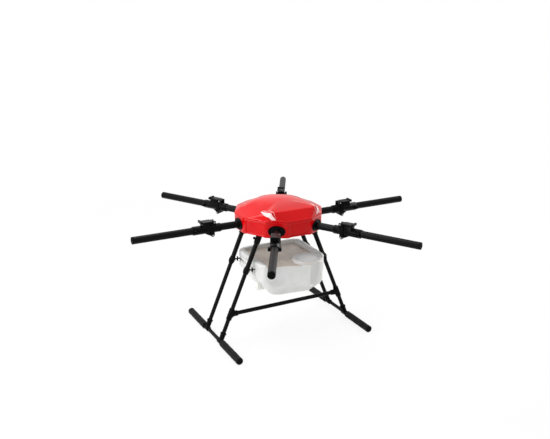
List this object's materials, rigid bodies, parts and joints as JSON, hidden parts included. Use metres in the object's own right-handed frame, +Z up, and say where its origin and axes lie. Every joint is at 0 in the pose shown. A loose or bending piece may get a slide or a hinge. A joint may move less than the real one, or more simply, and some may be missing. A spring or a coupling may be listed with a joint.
{
  "type": "hexacopter drone",
  "caption": "Folding spraying multirotor frame with red hood, carbon tube arms, latched arm joints, skid landing gear and a slide-out liquid tank; no motors fitted.",
  "frame": {"origin": "on the floor under the body's centre line", "axes": "+Z up, +X forwards along the skids, +Y to the left; the two side arms lie along Y"},
  "size_m": [1.4392, 1.64, 0.744],
  "materials": {
    "red_plastic": "gloss painted ABS moulding",
    "carbon_tube": "gloss woven carbon fibre tube",
    "carbon_plate": "satin woven carbon fibre plate",
    "black_alloy": "black anodised machined aluminium",
    "black_nylon": "moulded black nylon",
    "foam_rubber": "matt closed-cell foam",
    "tank_plastic": "translucent white blow-moulded polyethylene",
    "steel": "plated steel fasteners",
    "circuit_board": "green solder mask on glass-fibre laminate"
  },
  "bodies": {
    "airframe": {"fold_joint_inner_front_left": "black_alloy", "fold_joint_inner_mid_left": "black_alloy", "fold_joint_inner_rear_left": "black_alloy", "fold_joint_inner_rear_right": "black_alloy", "fold_joint_inner_mid_right": "black_alloy", "fold_joint_inner_front_right": "black_alloy", "arm_root_tubes": "carbon_tube", "fold_joint_pins": "steel", "arm_root_clamps": "black_alloy", "clamp_screws": "steel", "arm_sockets": "black_nylon", "lower_centre_plate": "carbon_plate", "upper_centre_plate": "carbon_plate", "plate_standoffs": "black_alloy", "power_board": "circuit_board", "side_shell": "red_plastic", "hood": "red_plastic", "hood_screws": "steel", "skid_tube_left": "carbon_tube", "skid_tube_right": "carbon_tube", "foam_sleeves": "foam_rubber", "skid_end_plugs": "black_nylon", "upper_leg_tubes": "carbon_tube", "leg_root_sockets": "black_alloy", "leg_couplers": "black_nylon", "skid_tees": "black_nylon", "brace_joints": "black_nylon", "cross_brace_tube": "carbon_tube", "lower_leg_tube_front_left": "carbon_tube", "lower_leg_tube_rear_left": "carbon_tube", "lower_leg_tube_front_right": "carbon_tube", "lower_leg_tube_rear_right": "carbon_tube"},
    "arm_front_left": {"arm_tube_front_left": "carbon_tube", "arm_end_plug_front_left": "black_nylon", "fold_joint_outer_front_left": "black_alloy"},
    "latch_front_left": {"fold_latch_front_left": "black_alloy"},
    "arm_mid_left": {"arm_tube_mid_left": "carbon_tube", "arm_end_plug_mid_left": "black_nylon", "fold_joint_outer_mid_left": "black_alloy"},
    "latch_mid_left": {"fold_latch_mid_left": "black_alloy"},
    "arm_rear_left": {"arm_tube_rear_left": "carbon_tube", "arm_end_plug_rear_left": "black_nylon", "fold_joint_outer_rear_left": "black_alloy"},
    "latch_rear_left": {"fold_latch_rear_left": "black_alloy"},
    "arm_rear_right": {"arm_tube_rear_right": "carbon_tube", "arm_end_plug_rear_right": "black_nylon", "fold_joint_outer_rear_right": "black_alloy"},
    "latch_rear_right": {"fold_latch_rear_right": "black_alloy"},
    "arm_mid_right": {"arm_tube_mid_right": "carbon_tube", "arm_end_plug_mid_right": "black_nylon", "fold_joint_outer_mid_right": "black_alloy"},
    "latch_mid_right": {"fold_latch_mid_right": "black_alloy"},
    "arm_front_right": {"arm_tube_front_right": "carbon_tube", "arm_end_plug_front_right": "black_nylon", "fold_joint_outer_front_right": "black_alloy"},
    "latch_front_right": {"fold_latch_front_right": "black_alloy"},
    "tank": {"tank": "tank_plastic", "tank_outlet": "tank_plastic"},
    "lid": {"tank_lid": "tank_plastic"}
  },
  "joints": [
    {"name": "arm_fold_front_left", "type": "hinge", "parent": "airframe", "child": "arm_front_left", "pos_m": [0.34295, 0.198, 0.599], "axis": [-0.5, 0.866, 0], "range_deg": [0, 90]},
    {"name": "latch_open_front_left", "type": "hinge", "parent": "airframe", "child": "latch_front_left", "pos_m": [0.33342, 0.1925, 0.666], "axis": [0.5, -0.866, 0], "range_deg": [0, 100]},
    {"name": "arm_fold_mid_left", "type": "hinge", "parent": "airframe", "child": "arm_mid_left", "pos_m": [0, 0.396, 0.599], "axis": [-1, 0, 0], "range_deg": [0, 90]},
    {"name": "latch_open_mid_left", "type": "hinge", "parent": "airframe", "child": "latch_mid_left", "pos_m": [0, 0.385, 0.666], "axis": [1, 0, 0], "range_deg": [0, 100]},
    {"name": "arm_fold_rear_left", "type": "hinge", "parent": "airframe", "child": "arm_rear_left", "pos_m": [-0.34295, 0.198, 0.599], "axis": [-0.5, -0.866, 0], "range_deg": [0, 90]},
    {"name": "latch_open_rear_left", "type": "hinge", "parent": "airframe", "child": "latch_rear_left", "pos_m": [-0.33342, 0.1925, 0.666], "axis": [0.5, 0.866, 0], "range_deg": [0, 100]},
    {"name": "arm_fold_rear_right", "type": "hinge", "parent": "airframe", "child": "arm_rear_right", "pos_m": [-0.34295, -0.198, 0.599], "axis": [0.5, -0.866, 0], "range_deg": [0, 90]},
    {"name": "latch_open_rear_right", "type": "hinge", "parent": "airframe", "child": "latch_rear_right", "pos_m": [-0.33342, -0.1925, 0.666], "axis": [-0.5, 0.866, 0], "range_deg": [0, 100]},
    {"name": "arm_fold_mid_right", "type": "hinge", "parent": "airframe", "child": "arm_mid_right", "pos_m": [0, -0.396, 0.599], "axis": [1, 0, 0], "range_deg": [0, 90]},
    {"name": "latch_open_mid_right", "type": "hinge", "parent": "airframe", "child": "latch_mid_right", "pos_m": [0, -0.385, 0.666], "axis": [-1, 0, 0], "range_deg": [0, 100]},
    {"name": "arm_fold_front_right", "type": "hinge", "parent": "airframe", "child": "arm_front_right", "pos_m": [0.34295, -0.198, 0.599], "axis": [0.5, 0.866, 0], "range_deg": [0, 90]},
    {"name": "latch_open_front_right", "type": "hinge", "parent": "airframe", "child": "latch_front_right", "pos_m": [0.33342, -0.1925, 0.666], "axis": [-0.5, -0.866, 0], "range_deg": [0, 100]},
    {"name": "tank_slide", "type": "slide", "parent": "airframe", "child": "tank", "axis": [1, 0, 0], "range_m": [0, 0.26]},
    {"name": "lid_lift", "type": "slide", "parent": "tank", "child": "lid", "axis": [0, 0, 1], "range_m": [0, 0.08]}
  ]
}
